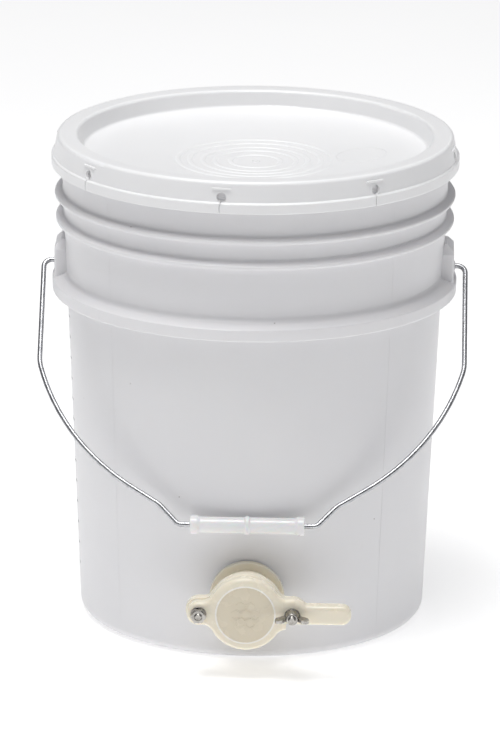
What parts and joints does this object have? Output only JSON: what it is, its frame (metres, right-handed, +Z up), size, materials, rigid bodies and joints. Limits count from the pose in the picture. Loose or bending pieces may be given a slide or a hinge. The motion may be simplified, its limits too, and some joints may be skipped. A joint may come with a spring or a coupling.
{
  "type": "honey pail",
  "caption": "Round plastic pail with press-on lid, wire bail with sleeve grip, and a swing-blade honey gate clamped low on its wall by a wing nut.",
  "frame": {"origin": "centre of the pail's axis at the floor, midway under the foot ring", "axes": "+Z up along the pail's axis, -Y forwards through the honey gate, +X to the right seen from the front, through the bail's ears"},
  "size_m": [0.3242, 0.3477, 0.3749],
  "materials": {
    "pail_plastic": "satin natural HDPE, slightly translucent",
    "lid_plastic": "satin white HDPE",
    "gasket_rubber": "soft white rubber",
    "galvanized_wire": "bright zinc-plated drawn wire",
    "grip_plastic": "glossy white polyethylene",
    "gate_nylon": "glossy cream nylon",
    "stainless_steel": "polished stainless"
  },
  "bodies": {
    "bucket": {"bucket_body": "pail_plastic", "gate_body": "gate_nylon", "gate_gasket": "gasket_rubber", "inner_gasket": "gasket_rubber", "gate_lock_nut": "gate_nylon", "pivot_bolt": "stainless_steel", "pivot_washer": "stainless_steel", "pivot_nut": "stainless_steel", "clamp_bolt": "stainless_steel"},
    "lid": {"lid": "lid_plastic", "lid_gasket": "gasket_rubber"},
    "bail": {"bail_wire": "galvanized_wire"},
    "grip": {"bail_grip": "grip_plastic"},
    "blade": {"gate_blade": "gate_nylon"},
    "clamp_washer": {"clamp_washer": "stainless_steel"},
    "wing_nut": {"wing_nut": "stainless_steel"}
  },
  "joints": [
    {"name": "lid_lift", "type": "slide", "parent": "bucket", "child": "lid", "axis": [0, 0, 1], "range_m": [0, 0.12]},
    {"name": "bail_swing", "type": "hinge", "parent": "bucket", "child": "bail", "pos_m": [0, 0, 0.2725], "axis": [-1, 0, 0], "range_deg": [0, 277]},
    {"name": "grip_spin", "type": "hinge", "parent": "bail", "child": "grip", "pos_m": [0, -0.14399, 0.10975], "axis": [1, 0, 0], "continuous": true},
    {"name": "blade_swing", "type": "hinge", "parent": "bucket", "child": "blade", "pos_m": [-0.0348, -0.1736, 0.051], "axis": [0, -1, 0], "range_deg": [0, 100]},
    {"name": "clamp_travel", "type": "slide", "parent": "bucket", "child": "clamp_washer", "axis": [0, -1, 0], "range_m": [0, 0.00201]},
    {"name": "wing_turn", "type": "hinge", "parent": "clamp_washer", "child": "wing_nut", "pos_m": [0.0348, -0.1836, 0.051], "axis": [0, -1, 0], "range_deg": [0, 720]}
  ],
  "couplings": [
    {"joint": "clamp_travel", "follows": "wing_turn", "m_per_rad": 0.00015915}
  ]
}
